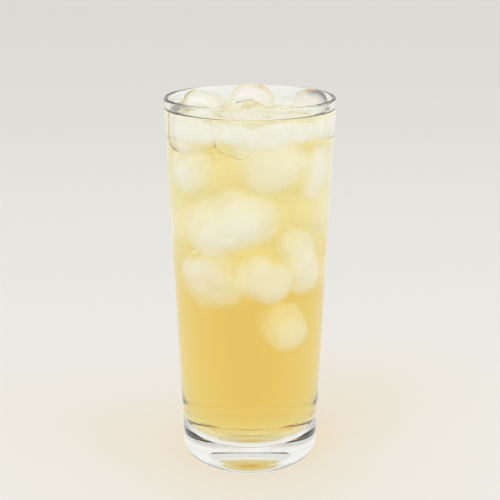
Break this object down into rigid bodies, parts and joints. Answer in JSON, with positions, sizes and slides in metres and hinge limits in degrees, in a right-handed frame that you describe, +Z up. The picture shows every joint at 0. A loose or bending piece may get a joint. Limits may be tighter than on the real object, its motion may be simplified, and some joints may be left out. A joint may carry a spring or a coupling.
{
  "type": "glass of iced green tea",
  "caption": "Tall tapered tumbler with a heavy clear base, filled nearly to its lip with golden green tea and melting ice cubes that float up through the surface.",
  "frame": {"origin": "centre of the foot, on the table", "axes": "+Z up along the axis of the tumbler; -Y the side seen in the picture, +X to its right"},
  "size_m": [0.074, 0.074, 0.1705],
  "materials": {
    "glass": "clear, polished",
    "tea": "clear golden liquid",
    "ice": "melting, part cloudy"
  },
  "bodies": {
    "root": {"glass": "glass", "tea": "tea", "ice_back": "ice", "ice_back_right": "ice", "ice_front": "ice", "ice_left": "ice", "ice_near_left": "ice", "ice_right": "ice"}
  },
  "joints": []
}
